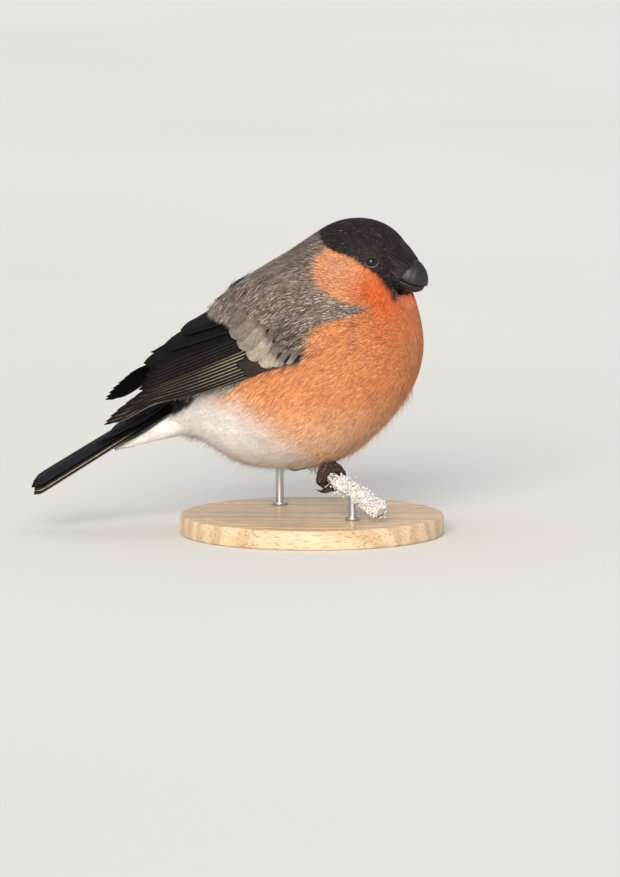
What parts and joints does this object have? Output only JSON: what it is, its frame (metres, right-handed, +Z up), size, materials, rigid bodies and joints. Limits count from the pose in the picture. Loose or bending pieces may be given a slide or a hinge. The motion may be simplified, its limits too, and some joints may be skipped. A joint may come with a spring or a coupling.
{
  "type": "perched bullfinch figure",
  "caption": "Life-size male bullfinch at rest on a cut, frosted twig, held by two short rods on a round wooden base.",
  "frame": {"origin": "the middle of the stand's underside", "axes": "+X the way the bird's body faces, -Y its right side, +Z up"},
  "size_m": [0.1255, 0.08, 0.0963],
  "materials": {
    "rose_plumage": "soft, matt",
    "grey_plumage": "soft, matt",
    "black_plumage": "soft, slight gloss",
    "flight_feathers": "slight blue gloss, pale edges",
    "white_plumage": "soft, matt",
    "eye": "wet gloss",
    "bill_horn": "satin horn",
    "leg_skin": "scaly, satin",
    "frosted_bark": "bark under hoar frost",
    "stand_wood": "oiled",
    "stand_steel": "brushed"
  },
  "bodies": {
    "root": {"torso": "rose_plumage", "neck": "grey_plumage", "head": "black_plumage", "wing_right": "flight_feathers", "wing_left": "flight_feathers", "tail": "flight_feathers", "undertail_coverts": "white_plumage", "eye_right": "eye", "eye_left": "eye", "bill_upper": "bill_horn", "bill_lower": "bill_horn", "leg_right": "leg_skin", "leg_left": "leg_skin", "perch_twig": "frosted_bark", "stand_base": "stand_wood", "stand_rod_near": "stand_steel", "stand_rod_far": "stand_steel"}
  },
  "joints": []
}
